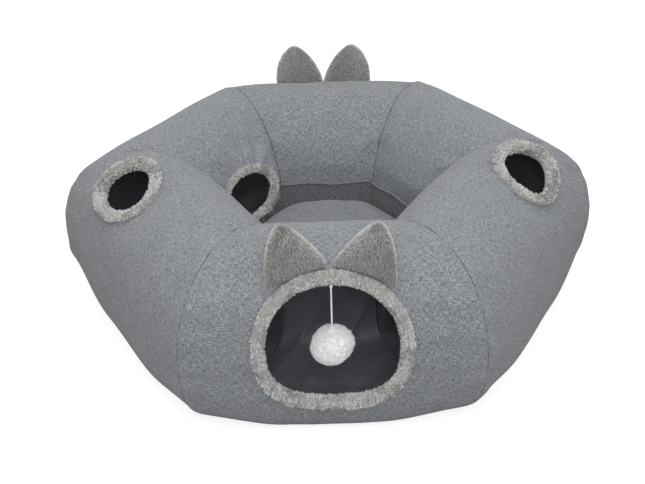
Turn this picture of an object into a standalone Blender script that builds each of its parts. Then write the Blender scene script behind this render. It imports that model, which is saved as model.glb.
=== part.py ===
"""Ring-shaped cat tunnel round a cushioned nest. Metres, +Z up.

Six straight fabric tubes are mitred together into a ring. The origin is on the floor under the
middle of the ring, and the main entry, with the hanging pompom, faces -Y.
"""

import math

import bmesh
import bpy
from mathutils import Vector

# Plan of the ring, measured over the outer faces of the tubes
RING_WIDTH = 0.85
RING_DEPTH = 0.744
FRONT_SIDE_LENGTH = 0.404
REAR_SIDE_LENGTH = 0.420
SIDE_CORNER_SET_BACK = 0.024

# Section of the tube. Fullness 2 is an ellipse's quarter, and more is squarer.
TUBE_HEIGHT = 0.26
TUBE_WIDTH = 0.236
EQUATOR_HEIGHT = 0.117
BASE_PRESS = 0.003
OUTER_SHOULDER_FULLNESS = 2.27
INNER_SHOULDER_FULLNESS = 1.87
INNER_FOOT_FULLNESS = 5.0
OUTER_FOOT_FULLNESS = 3.5
QUARTER_STEPS = 9

# Layers of the tube's wall, and the gap that is left between pieces that touch
COVER_THICKNESS = 0.006
LINING_THICKNESS = 0.0015
GAP = 0.0003
SEAM_BEVEL = 0.0045
HOOP_WIRE = 0.0035
HOOP_DEPTH = 0.0039
OVERRUN = 0.008

# Entries, in the front and the rear tube
ENTRY_WIDTH = 0.19
ENTRY_TOP = 0.233
ENTRY_FOOT = 0.0705
ENTRY_TOP_FULLNESS = 2.05
ENTRY_FOOT_FULLNESS = 2.7
ENTRY_STEPS = 36

# Peepholes: one on top of each front side tube, and one from the nest into the rear left tube.
# A set-back is the fabric left between a seam and the cut edge.
PEEPHOLE_LENGTH = 0.112
PEEPHOLE_RISE = 0.098
LEFT_PEEPHOLE_HEIGHT = 0.2455
LEFT_PEEPHOLE_SET_BACK = 0.0565
RIGHT_PEEPHOLE_HEIGHT = 0.248
RIGHT_PEEPHOLE_SET_BACK = 0.0417
NEST_HOLE_REAR_SET_BACK = 0.0297
NEST_HOLE_FRONT_SET_BACK = 0.0121
NEST_HOLE_RISE = 0.084
NEST_HOLE_HEIGHT = 0.155
PEEPHOLE_FULLNESS = 2.1
PEEPHOLE_STEPS = 24
PATCH_SHARES = (0.1, 0.4, 0.7, 0.86)

# Plush binding that wraps the cut edge of every opening
BINDING_FLANGE = 0.0105
BINDING_NECK = 0.0065
BINDING_LOFT = 0.0085
BINDING_FULLNESS = 2.4
BINDING_STEPS = 6

# Stuffed plush ears, a pair over each entry
EAR_HALF_WIDTH = 0.0435
EAR_THICKNESS = 0.027
EAR_ROOT_HEIGHT = 0.200
EAR_BASE_HEIGHT = 0.240
EAR_TIP_HEIGHT = 0.316
EAR_OFFSET = 0.0415
FRONT_EAR_TILT = 0.022
REAR_EAR_TILT = 0.0085
EAR_SET_BACK = 0.055
EAR_BOW = 0.021
EAR_LEAN = 0.005
FRONT_EAR_TAPER = 1.1
REAR_EAR_TAPER = 1.9
EAR_POINT = 0.65
EAR_CLOSE = 3.0
EAR_SECTION_FULLNESS = 2.3
EAR_ROW_SHARES = (0.0, 0.2, 0.4, 0.6, 0.75, 0.87, 0.95, 0.99)
EAR_STEPS = 16

# Nest in the middle of the ring: floor, wall panels with a rolled hem, and the cushion
NEST_FLOOR_THICKNESS = 0.003
NEST_WALL_THICKNESS = 0.002
NEST_WALL_TOP = 0.137
HEM_RADIUS = 0.002
HEM_STEPS = 8
CUSHION_HEIGHT = 0.127
CUSHION_CLEARANCE = 0.001
CUSHION_SET_BACK = 0.0087
CUSHION_SQUARENESS = 7.0
CUSHION_SEAM_DEPTH = 0.004
CUSHION_SEAM_WIDTH = 0.010
CUSHION_TOP_FULLNESS = 2.8
CUSHION_FOOT_FULLNESS = 5.0
CUSHION_STEPS = 7
CUSHION_SECTORS = 32

# Pompom on an elastic cord, tied in under the top of the front entry
KNOT_RADIUS = 0.0025
CORD_DIAMETER = 0.0025
CORD_LENGTH = 0.058
CORD_PITCH = 0.006
POMPOM_RADIUS = 0.031
POMPOM_SQUASH = 0.97

SMOOTH_ANGLE = math.radians(40)

LINEN_GREY = (0.262, 0.276, 0.296)
LINING_BLACK = (0.012, 0.013, 0.018)
PLUSH_GREY = (0.380, 0.368, 0.350)
EAR_GREY = (0.245, 0.236, 0.224)
NEST_GREY = (0.150, 0.157, 0.170)
STEEL = (0.450, 0.450, 0.460)
WHITE = (0.860, 0.860, 0.880)


# Groundwork shared by the pieces

def clear_scene():
    for thing in list(bpy.data.objects):
        bpy.data.objects.remove(thing, do_unlink=True)


def finish(name, colour, roughness, metallic=0.0):
    material = bpy.data.materials.new(name)
    material.use_nodes = True
    shader = material.node_tree.nodes["Principled BSDF"]
    shader.inputs["Base Color"].default_value = (*colour, 1.0)
    shader.inputs["Roughness"].default_value = roughness
    shader.inputs["Metallic"].default_value = metallic
    material.diffuse_color = (*colour, 1.0)
    return material


def add_piece(name, data, material, parent=None, place=(0.0, 0.0, 0.0)):
    piece = bpy.data.objects.new(name, data)
    data.materials.append(material)
    piece.parent = parent
    piece.location = place
    bpy.context.scene.collection.objects.link(piece)
    return piece


def add_cutter(name, data, parent):
    cutter = bpy.data.objects.new(name, data)
    cutter.parent = parent
    cutter.hide_render = True
    cutter.display_type = "WIRE"
    bpy.context.scene.collection.objects.link(cutter)
    return cutter


def cut(piece, cutter):
    modifier = piece.modifiers.new(f"cut by {cutter.name}", "BOOLEAN")
    modifier.operation = "DIFFERENCE"
    modifier.solver = "EXACT"
    modifier.object = cutter


def loft(name, rings, cyclic=False, split=False):
    """Joins closed rings of points in order, round to the first ring again or capped at both ends.

    Split faces bend the same way in each copy of a twisted shape, so that a gap between two holds.
    """
    shape = bmesh.new()
    rows = [[shape.verts.new(point) for point in ring] for ring in rings]
    pairs = list(zip(rows, rows[1:]))
    if cyclic:
        pairs.append((rows[-1], rows[0]))
    else:
        shape.faces.new(rows[0])
        shape.faces.new(rows[-1])
    for near, far in pairs:
        for i in range(len(near)):
            if split:
                shape.faces.new((near[i - 1], near[i], far[i]))
                shape.faces.new((near[i - 1], far[i], far[i - 1]))
            else:
                shape.faces.new((near[i - 1], near[i], far[i], far[i - 1]))
    return finished(name, shape)


def finished(name, shape):
    bmesh.ops.recalc_face_normals(shape, faces=shape.faces)
    mesh = bpy.data.meshes.new(name)
    shape.to_mesh(mesh)
    shape.free()
    mesh.shade_smooth()
    mesh.set_sharp_from_angle(angle=SMOOTH_ANGLE)
    return mesh


def quarter_point(turn, width, height, fullness):
    """A point on a superellipse's quarter, turn radians up from its side."""
    across = max(math.cos(turn), 0.0) ** (2.0 / fullness)
    up = max(math.sin(turn), 0.0) ** (2.0 / fullness)
    return width * across, height * up


# Section of the tube, and the flat panel that wraps it

def section_outline(inset):
    """Points (depth behind the outer face, height), from the outer equator over the top and back below."""
    middle = TUBE_WIDTH / 2
    rise = TUBE_HEIGHT - EQUATOR_HEIGHT - inset
    drop = EQUATOR_HEIGHT + BASE_PRESS - inset
    quarters = (
        (-1, rise, OUTER_SHOULDER_FULLNESS, False),
        (1, rise, INNER_SHOULDER_FULLNESS, True),
        (1, -drop, INNER_FOOT_FULLNESS, False),
        (-1, -drop, OUTER_FOOT_FULLNESS, True),
    )
    outline = []
    for hand, reach, fullness, falling in quarters:
        for step in range(QUARTER_STEPS):
            turn = math.pi / 2 * step / QUARTER_STEPS
            if falling:
                turn = math.pi / 2 - turn
            across, up = quarter_point(turn, middle - inset, reach, fullness)
            outline.append((middle + hand * across, max(EQUATOR_HEIGHT + up, inset)))
    return outline


class OuterFace:
    """The tube's outer face laid flat: up is the distance over the fabric from the outer equator."""

    def __init__(self):
        self.points = [Vector(point) for point in section_outline(0.0)]
        count = len(self.points)
        self.edges = [self.points[(i + 1) % count] - self.points[i] for i in range(count)]
        self.starts = [0.0]
        for edge in self.edges:
            self.starts.append(self.starts[-1] + edge.length)
        facing = [Vector((-edge.y, edge.x)).normalized() for edge in self.edges]
        self.normals = [(facing[i - 1] + facing[i]).normalized() for i in range(count)]

    def up_at(self, height, inner=False):
        """How far up the fabric the outer wall, or the nest's wall, reaches a height."""
        count = len(self.points)
        hits = []
        for i, edge in enumerate(self.edges):
            low, high = sorted((self.points[i].y, self.points[(i + 1) % count].y))
            if low <= height < high:
                hits.append(self.starts[i] + edge.length * (height - self.points[i].y) / edge.y)
        hits.sort(key=lambda up: self.place(up, 0.0).x)
        if inner:
            return hits[-1]
        return hits[0] if hits[0] < self.starts[-1] / 2 else hits[0] - self.starts[-1]

    def place(self, up, lift):
        """The (depth, height) of a point lift above the face."""
        up %= self.starts[-1]
        i = max(k for k in range(len(self.edges)) if self.starts[k] <= up)
        share = (up - self.starts[i]) / self.edges[i].length
        after = self.normals[(i + 1) % len(self.normals)]
        normal = self.normals[i].lerp(after, share).normalized()
        return self.points[i] + self.edges[i] * share + normal * lift


class Side:
    """One straight tube. Its own frame has +X along the outer face, +Y into the ring and +Z up."""

    def __init__(self, name, before, start, end, after):
        self.name = name
        self.half = (end - start).length / 2
        self.start_slope = 1.0 / math.tan((before - start).angle(end - start) / 2)
        self.end_slope = 1.0 / math.tan((start - end).angle(after - end) / 2)
        self.frame = bpy.data.objects.new(f"{name}_frame", None)
        self.frame.location = ((start + end) / 2).to_3d()
        along = end - start
        self.frame.rotation_euler.z = math.atan2(along.y, along.x)
        bpy.context.scene.collection.objects.link(self.frame)

    def start_at(self, depth, height, back=0.0):
        return Vector((-self.half + depth * self.start_slope + back, depth, height))

    def end_at(self, depth, height, back=0.0):
        return Vector((self.half - depth * self.end_slope - back, depth, height))

    def ring_at(self, end, inset, back=0.0):
        place = self.end_at if end else self.start_at
        return [place(depth, height, back) for depth, height in section_outline(inset)]

    def on_face(self, along, up, lift):
        depth, height = FACE.place(up, lift)
        return Vector((along, depth, height))

    def seams_at(self, up):
        """How far along the face the two seams cross it, so far up the fabric."""
        depth, height = FACE.place(up, 0.0)
        return self.start_at(depth, height).x, self.end_at(depth, height).x


def ring_sides():
    """The six tubes, counter-clockwise from the front."""
    width, depth = RING_WIDTH / 2, RING_DEPTH / 2
    front, rear = FRONT_SIDE_LENGTH / 2, REAR_SIDE_LENGTH / 2
    corners = [
        Vector((-front, -depth)),
        Vector((front, -depth)),
        Vector((width, SIDE_CORNER_SET_BACK)),
        Vector((rear, depth)),
        Vector((-rear, depth)),
        Vector((-width, SIDE_CORNER_SET_BACK)),
    ]
    names = ("front", "front_right", "rear_right", "rear", "rear_left", "front_left")
    sides = {}
    for i, name in enumerate(names):
        around = [corners[(i + k) % len(corners)] for k in (-1, 0, 1, 2)]
        sides[name] = Side(name, *around)
    return sides


# Openings and their plush binding

class Opening:
    """A hole cut in the flat panel, and later wrapped round the tube with it."""

    def __init__(self, side, along, up, length, rise, fullness, steps):
        self.side = side
        self.along = along
        self.up = up
        self.length = length
        self.rise = rise
        self.fullness = fullness
        self.steps = steps

    def edge(self, wider=0.0, share=1.0):
        """The hole's outline on the flat panel, moved out by wider or shrunk to a share."""
        outline = []
        for step in range(self.steps):
            turn = 2 * math.pi * step / self.steps
            upper = step <= self.steps // 2
            fullness = self.fullness[0] if upper else self.fullness[1]
            corner = abs(math.cos(turn)), abs(math.sin(turn))
            across = math.copysign(corner[0] ** (2 / fullness), math.cos(turn))
            rise = corner[1] ** (2 / fullness) * (1 if upper else -1)
            outline.append(Vector((across * self.length / 2, rise * self.rise / 2)))
        moved = []
        for i, point in enumerate(outline):
            run = outline[(i + 1) % self.steps] - outline[i - 1]
            outward = Vector((run.y, -run.x)).normalized()
            moved.append((point + outward * wider) * share)
        return moved

    def ring(self, lift, wider=0.0, share=1.0):
        edge = self.edge(wider, share)
        return [self.side.on_face(self.along + p.x, self.up + p.y, lift) for p in edge]

    def patch(self, name, low, high, wider=0.0):
        """A cutter in the shape of the hole that follows the tube's curve, from low to high above it."""
        rings = [self.ring(high, wider, share) for share in PATCH_SHARES]
        rings.append(self.ring(high, wider))
        rings.append(self.ring(low, wider))
        rings.extend(self.ring(low, wider, share) for share in reversed(PATCH_SHARES))
        return add_cutter(name, loft(name, rings, split=True), self.side.frame)


def binding_profile():
    """The binding's section as (outward from the cut edge, above the face), before it is seated."""
    middle = (BINDING_FLANGE - BINDING_NECK) / 2
    half = (BINDING_FLANGE + BINDING_NECK) / 2
    profile = []
    for step in range(BINDING_STEPS + 1):
        turn = math.pi * step / BINDING_STEPS
        across, up = quarter_point(min(turn, math.pi - turn), half, BINDING_LOFT, BINDING_FULLNESS)
        profile.append((middle + math.copysign(across, math.cos(turn)), up))
    profile.append((-BINDING_NECK, -WALL))
    profile.append((BINDING_FLANGE, -WALL))
    return profile


def add_binding(name, opening):
    """A roll over the face and a neck through the wall, fitted to the cut edge that they wrap."""
    side = opening.side
    seat_rings = [
        side.ring_at(False, -GAP),
        side.ring_at(True, -GAP),
        side.ring_at(True, WALL + OVERRUN / 2),
        side.ring_at(False, WALL + OVERRUN / 2),
    ]
    seat_name = f"{name}_seat"
    seat = add_cutter(seat_name, loft(seat_name, seat_rings, cyclic=True), side.frame)
    cut(seat, opening.patch(f"{name}_neck", -WALL - OVERRUN, OVERRUN, -GAP))
    loops = [opening.ring(lift, wider) for wider, lift in binding_profile()]
    binding = add_piece(name, loft(name, loops, cyclic=True), PLUSH, side.frame)
    cut(binding, seat)


# Tubes: a foam-backed cover, a thin dark lining, and a spring-steel hoop in each seam

def add_tube(side, openings):
    frame = side.frame
    cover_rings = [
        side.ring_at(False, 0.0, GAP / 2),
        side.ring_at(True, 0.0, GAP / 2),
        side.ring_at(True, COVER_THICKNESS, SEAM_BEVEL),
        side.ring_at(False, COVER_THICKNESS, SEAM_BEVEL),
    ]
    cover_name = f"{side.name}_cover"
    cover = add_piece(cover_name, loft(cover_name, cover_rings, cyclic=True), LINEN, frame)
    lining_rings = [
        side.ring_at(False, COVER_THICKNESS + GAP, GAP / 2),
        side.ring_at(True, COVER_THICKNESS + GAP, GAP / 2),
        side.ring_at(True, WALL, GAP / 2),
        side.ring_at(False, WALL, GAP / 2),
    ]
    lining_name = f"{side.name}_lining"
    lining = add_piece(lining_name, loft(lining_name, lining_rings, cyclic=True), BLACK, frame)
    for opening_name, opening in openings.items():
        if opening.side is side:
            hole = opening.patch(f"{opening_name}_hole", -WALL - OVERRUN, OVERRUN)
            cut(cover, hole)
            cut(lining, hole)


def add_hoop(side):
    """The hoop that holds the seam at the start of a side, in the groove between the two covers."""
    curve = bpy.data.curves.new(f"{side.name}_hoop", "CURVE")
    curve.dimensions = "3D"
    curve.bevel_depth = HOOP_WIRE / 2
    curve.bevel_resolution = 1
    points = side.ring_at(False, HOOP_DEPTH)
    spline = curve.splines.new("POLY")
    spline.points.add(len(points) - 1)
    for knot, point in zip(spline.points, points):
        knot.co = (*point, 1.0)
    spline.use_cyclic_u = True
    add_piece(f"{side.name}_hoop", curve, WIRE, side.frame)


# Ears

def ear_depth(along, share):
    """How far behind the outer face the ear's middle layer runs: it bows round the entry."""
    spread = along / (EAR_OFFSET + EAR_HALF_WIDTH)
    return EAR_SET_BACK - EAR_BOW * spread * spread - EAR_LEAN * share


def ear_ring(hand, height, tilt, taper):
    """Section of an ear. A low taper has straight edges, and a high one bows them out."""
    share = max((height - EAR_BASE_HEIGHT) / (EAR_TIP_HEIGHT - EAR_BASE_HEIGHT), 0.0)
    half = EAR_HALF_WIDTH * (1.0 - share**taper) ** EAR_POINT
    thick = EAR_THICKNESS / 2 * math.sqrt(1.0 - share**EAR_CLOSE)
    ring = []
    for step in range(EAR_STEPS):
        turn = 2 * math.pi * step / EAR_STEPS
        flat = abs(math.cos(turn)), abs(math.sin(turn))
        across = math.copysign(flat[0] ** (2 / EAR_SECTION_FULLNESS), math.cos(turn))
        deep = math.copysign(flat[1] ** (2 / EAR_SECTION_FULLNESS), math.sin(turn))
        along = max(EAR_OFFSET + tilt * share + half * across, GAP / 2)
        ring.append(Vector((hand * along, ear_depth(along, share) + thick * deep, height)))
    return ring


def add_ears(side, opening, tilt, taper):
    """Two stuffed ears that stand on the cover behind the binding, cut to the curve they are sewn on."""
    seat_rings = [side.ring_at(False, -GAP), side.ring_at(True, -GAP)]
    seat_name = f"{side.name}_ear_seat"
    seat = add_cutter(seat_name, loft(seat_name, seat_rings), side.frame)
    room_name = f"{side.name}_binding_room"
    room_top = BINDING_LOFT + 2 * GAP
    room = opening.patch(room_name, -OVERRUN, room_top, BINDING_FLANGE + GAP)
    reach = EAR_TIP_HEIGHT - EAR_BASE_HEIGHT
    heights = [EAR_ROOT_HEIGHT]
    heights.extend(EAR_BASE_HEIGHT + reach * share for share in EAR_ROW_SHARES)
    for hand, label in ((-1, "left"), (1, "right")):
        name = f"{side.name}_ear_{label}"
        rings = [ear_ring(hand, height, tilt, taper) for height in heights]
        ear = add_piece(name, loft(name, rings), EAR_PLUSH, side.frame)
        cut(ear, seat)
        cut(ear, room)


# Nest

def nest_wall_profile():
    """Section of a nest wall panel as (depth, height), with its rolled hem at the top."""
    back = TUBE_WIDTH + GAP
    foot = NEST_FLOOR_THICKNESS + GAP
    front = back + NEST_WALL_THICKNESS
    under = -math.acos(NEST_WALL_THICKNESS / HEM_RADIUS - 1.0)
    profile = [(back, foot)]
    for step in range(HEM_STEPS + 1):
        turn = math.pi + (under - math.pi) * step / HEM_STEPS
        depth = back + HEM_RADIUS + HEM_RADIUS * math.cos(turn)
        profile.append((depth, NEST_WALL_TOP + HEM_RADIUS * math.sin(turn)))
    profile.append((front, foot))
    return profile


def add_nest_wall(side, notch):
    profile = nest_wall_profile()
    rings = [
        [side.start_at(depth, height, GAP / 2) for depth, height in profile],
        [side.end_at(depth, height, GAP / 2) for depth, height in profile],
    ]
    name = f"{side.name}_nest_wall"
    wall = add_piece(name, loft(name, rings), NEST_FABRIC, side.frame)
    if notch:
        cut(wall, notch)


def add_nest_floor(sides):
    depth = TUBE_WIDTH + GAP
    rings = []
    for height in (0.0, NEST_FLOOR_THICKNESS):
        corners = []
        for side in sides.values():
            place = side.frame.matrix_world @ side.start_at(depth, height)
            corners.append(place)
        rings.append(corners)
    add_piece("nest_floor", loft("nest_floor", rings), NEST_FABRIC)


def cushion_reach(sides, nest_hole, heading):
    """How far the cushion reaches from its middle: out to the six hems, and to the hole's binding."""
    pressed = 0.0
    for side in sides.values():
        proud = BINDING_LOFT if side is nest_hole.side else 2 * HEM_RADIUS
        inward = side.frame.matrix_world.to_3x3() @ Vector((0.0, 1.0, 0.0))
        wall = side.frame.matrix_world @ Vector((0.0, TUBE_WIDTH + GAP + proud, 0.0))
        room = inward.dot(Vector((0.0, CUSHION_SET_BACK, 0.0)) - wall) - CUSHION_CLEARANCE
        pressed += max(-inward.dot(heading) / room, 0.0) ** CUSHION_SQUARENESS
    return pressed ** (-1.0 / CUSHION_SQUARENESS)


def add_cushion(sides, nest_hole):
    """A stuffed cushion: crowned top, pressed foot, and a seam drawn in round its side."""
    middle = CUSHION_HEIGHT / 2
    shape = bmesh.new()
    rings = []
    for step in range(1, 2 * CUSHION_STEPS):
        turn = math.pi / 2 * (step / CUSHION_STEPS - 1.0)
        fullness = CUSHION_TOP_FULLNESS if turn > 0 else CUSHION_FOOT_FULLNESS
        share, up = quarter_point(abs(turn), 1.0, middle, fullness)
        rise = math.copysign(up, turn)
        drawn = CUSHION_SEAM_DEPTH * max(1.0 - abs(rise) / CUSHION_SEAM_WIDTH, 0.0)
        ring = []
        for sector in range(CUSHION_SECTORS):
            angle = 2 * math.pi * sector / CUSHION_SECTORS
            heading = Vector((math.cos(angle), math.sin(angle), 0.0))
            out = share * cushion_reach(sides, nest_hole, heading) - drawn
            ring.append(shape.verts.new(heading * out + Vector((0.0, 0.0, middle + rise))))
        rings.append(ring)
    foot_middle = shape.verts.new((0.0, 0.0, 0.0))
    crown = shape.verts.new((0.0, 0.0, CUSHION_HEIGHT))
    for i in range(CUSHION_SECTORS):
        shape.faces.new((foot_middle, rings[0][i - 1], rings[0][i]))
        shape.faces.new((crown, rings[-1][i], rings[-1][i - 1]))
        for low, high in zip(rings, rings[1:]):
            shape.faces.new((low[i - 1], low[i], high[i], high[i - 1]))
    place = (0.0, CUSHION_SET_BACK, NEST_FLOOR_THICKNESS + GAP)
    add_piece("nest_cushion", finished("nest_cushion", shape), LINEN, None, place)


# Pompom toy

def add_ball(name, radius, squash, detail, material, parent, place):
    shape = bmesh.new()
    bmesh.ops.create_icosphere(shape, subdivisions=detail, radius=radius)
    for corner in shape.verts:
        corner.co.z *= squash
    return add_piece(name, finished(name, shape), material, parent, place)


def add_pompom(side, opening):
    """The knot turns fore and aft under the binding, and the cord and the ball swing sideways from it."""
    top = opening.up + opening.rise / 2 - BINDING_NECK - KNOT_RADIUS - GAP
    pivot = bpy.data.objects.new("pompom_pivot", None)
    pivot.parent = side.frame
    pivot.location = side.on_face(0.0, top, -WALL / 2)
    bpy.context.scene.collection.objects.link(pivot)
    add_ball("cord_knot", KNOT_RADIUS, 1.0, 2, WHITE_YARN, pivot, (0.0, 0.0, 0.0))
    curve = bpy.data.curves.new("pompom_cord", "CURVE")
    curve.dimensions = "3D"
    curve.bevel_depth = CORD_DIAMETER / 2
    curve.bevel_resolution = 2
    curve.use_fill_caps = True
    count = round(CORD_LENGTH / CORD_PITCH)
    spline = curve.splines.new("POLY")
    spline.points.add(count)
    for i, knot in enumerate(spline.points):
        drop = KNOT_RADIUS + GAP + CORD_LENGTH * i / count
        knot.co = (0.0, 0.0, -drop, 1.0)
    add_piece("pompom_cord", curve, WHITE_YARN, pivot)
    hang = KNOT_RADIUS + CORD_LENGTH + 2 * GAP + POMPOM_RADIUS * POMPOM_SQUASH
    ball = add_ball("pompom", POMPOM_RADIUS, POMPOM_SQUASH, 3, WHITE_YARN, pivot, (0.0, 0.0, 0.0))
    for corner in ball.data.vertices:
        corner.co.z -= hang


# Assembly

clear_scene()
WALL = COVER_THICKNESS + GAP + LINING_THICKNESS
FACE = OuterFace()
LINEN = finish("linen_weave", LINEN_GREY, 0.9)
BLACK = finish("black_lining", LINING_BLACK, 0.55)
PLUSH = finish("plush_binding", PLUSH_GREY, 0.95)
EAR_PLUSH = finish("ear_plush", EAR_GREY, 0.95)
NEST_FABRIC = finish("nest_fabric", NEST_GREY, 0.9)
WIRE = finish("spring_steel", STEEL, 0.35, 1.0)
WHITE_YARN = finish("white_yarn", WHITE, 0.9)

SIDES = ring_sides()
bpy.context.view_layer.update()

foot = FACE.up_at(ENTRY_FOOT)
head = FACE.up_at(ENTRY_TOP)
entry_fullness = (ENTRY_TOP_FULLNESS, ENTRY_FOOT_FULLNESS)
entry = (0.0, (foot + head) / 2, ENTRY_WIDTH, head - foot, entry_fullness, ENTRY_STEPS)
round_fullness = (PEEPHOLE_FULLNESS, PEEPHOLE_FULLNESS)
peephole = (PEEPHOLE_LENGTH, PEEPHOLE_RISE, round_fullness, PEEPHOLE_STEPS)
left_up = FACE.up_at(LEFT_PEEPHOLE_HEIGHT)
left_along = SIDES["front_left"].seams_at(left_up)[0] + LEFT_PEEPHOLE_SET_BACK + PEEPHOLE_LENGTH / 2
right_up = FACE.up_at(RIGHT_PEEPHOLE_HEIGHT)
right_along = SIDES["front_right"].seams_at(right_up)[1] - RIGHT_PEEPHOLE_SET_BACK - PEEPHOLE_LENGTH / 2
nest_side = FACE.up_at(NEST_HOLE_HEIGHT, inner=True)
rear_seam, front_seam = SIDES["rear_left"].seams_at(nest_side)
rear_edge = rear_seam + NEST_HOLE_REAR_SET_BACK
front_edge = front_seam - NEST_HOLE_FRONT_SET_BACK
nest_hole = (front_edge - rear_edge, NEST_HOLE_RISE, round_fullness, PEEPHOLE_STEPS)
OPENINGS = {
    "front_entry": Opening(SIDES["front"], *entry),
    "rear_entry": Opening(SIDES["rear"], *entry),
    "left_peephole": Opening(SIDES["front_left"], left_along, left_up, *peephole),
    "right_peephole": Opening(SIDES["front_right"], right_along, right_up, *peephole),
    "nest_hole": Opening(SIDES["rear_left"], (rear_edge + front_edge) / 2, nest_side, *nest_hole),
}

for tube in SIDES.values():
    add_tube(tube, OPENINGS)
    add_hoop(tube)

for label, hole in OPENINGS.items():
    add_binding(f"{label}_binding", hole)

add_ears(SIDES["front"], OPENINGS["front_entry"], FRONT_EAR_TILT, FRONT_EAR_TAPER)
add_ears(SIDES["rear"], OPENINGS["rear_entry"], REAR_EAR_TILT, REAR_EAR_TAPER)

hole = OPENINGS["nest_hole"]
notch_top = NEST_WALL_THICKNESS + 2 * HEM_RADIUS + OVERRUN
hole_room = hole.patch("nest_hole_room", -OVERRUN, notch_top, BINDING_FLANGE + GAP)
for tube in SIDES.values():
    add_nest_wall(tube, hole_room if tube is hole.side else None)
add_nest_floor(SIDES)
add_cushion(SIDES, hole)
add_pompom(SIDES["front"], OPENINGS["front_entry"])
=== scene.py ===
import math

import bpy
import numpy as np
from mathutils import Matrix, Vector
from mathutils.kdtree import KDTree


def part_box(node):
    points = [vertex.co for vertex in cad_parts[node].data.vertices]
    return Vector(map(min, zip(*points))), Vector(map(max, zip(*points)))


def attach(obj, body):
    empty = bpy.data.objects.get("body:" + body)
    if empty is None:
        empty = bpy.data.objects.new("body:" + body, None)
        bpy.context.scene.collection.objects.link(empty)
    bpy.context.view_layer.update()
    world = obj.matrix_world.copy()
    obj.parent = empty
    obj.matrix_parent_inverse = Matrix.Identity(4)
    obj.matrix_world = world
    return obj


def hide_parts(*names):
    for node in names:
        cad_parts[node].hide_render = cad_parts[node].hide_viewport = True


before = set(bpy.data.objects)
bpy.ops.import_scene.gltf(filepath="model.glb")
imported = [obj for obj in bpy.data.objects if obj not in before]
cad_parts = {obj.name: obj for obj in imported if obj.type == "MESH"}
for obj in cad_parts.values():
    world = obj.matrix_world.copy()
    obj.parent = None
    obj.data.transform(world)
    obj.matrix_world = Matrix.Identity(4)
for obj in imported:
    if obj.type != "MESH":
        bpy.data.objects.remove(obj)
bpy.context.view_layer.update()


# Viewpoint
# The camera looks down on the main entry from in front, a little rolled, as in the photograph.

AZIMUTH = math.radians(-0.24)
ELEVATION = math.radians(28.89)
ROLL = math.radians(-1.6)
DISTANCE = 1.6927
TARGET = Vector((0.0, 0.0, 0.13))
SENSOR = 36.0
PHOTO_WIDTH = 645
PHOTO_HEIGHT = 484
FOCAL_PX = 1056.6
CENTRE_X_PX = 328.14
CENTRE_Y_PX = 224.47

camera_data = bpy.data.cameras.new("camera")
camera_data.sensor_width = SENSOR
camera_data.lens = FOCAL_PX / PHOTO_WIDTH * SENSOR
camera_data.shift_x = (PHOTO_WIDTH / 2 - CENTRE_X_PX) / PHOTO_WIDTH
camera_data.shift_y = (CENTRE_Y_PX - PHOTO_HEIGHT / 2) / PHOTO_WIDTH
camera = bpy.data.objects.new("camera", camera_data)
bpy.context.scene.collection.objects.link(camera)
back = Vector((
    math.sin(AZIMUTH) * math.cos(ELEVATION),
    -math.cos(AZIMUTH) * math.cos(ELEVATION),
    math.sin(ELEVATION),
))
level = Vector((math.cos(AZIMUTH), math.sin(AZIMUTH), 0.0))
upright = back.cross(level)
across = level * math.cos(ROLL) + upright * math.sin(ROLL)
upward = upright * math.cos(ROLL) - level * math.sin(ROLL)
camera.matrix_world = Matrix((across, upward, back)).transposed().to_4x4()
camera.location = TARGET + back * DISTANCE
bpy.context.scene.camera = camera


# Pompom's cord
# A thin white elastic, two yarns twisted together. It is tied off in a knot under the main entry's
# binding, and hangs straight down to the pompom.

CORD_LENGTH = 0.058
CORD_DIAMETER = 0.0025
CORD_TWISTS = 9
CORD_STEPS = 120
STRAND_SHARE = 0.3
STRAND_SIDES = 3
FLUFF_RATE = 900.0
FIBRE_RATE = 2600.0
FIBRE_HEIGHT = 0.0002

WHITE = (0.95, 0.95, 0.96)
WHITE_SHADE = (0.86, 0.865, 0.88)


class Value:
    """A shader socket that takes part in sums, so that a pattern reads as an expression."""

    def __init__(self, finish, socket):
        self.finish = finish
        self.socket = socket

    def math(self, operation, *others):
        return self.finish.node("ShaderNodeMath", {"operation": operation}, [self, *others])

    def __add__(self, other):
        return self.math("ADD", other)

    def __sub__(self, other):
        return self.math("SUBTRACT", other)

    def __mul__(self, other):
        return self.math("MULTIPLY", other)

    __radd__ = __add__

    def sine(self):
        return self.math("SINE")


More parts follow.
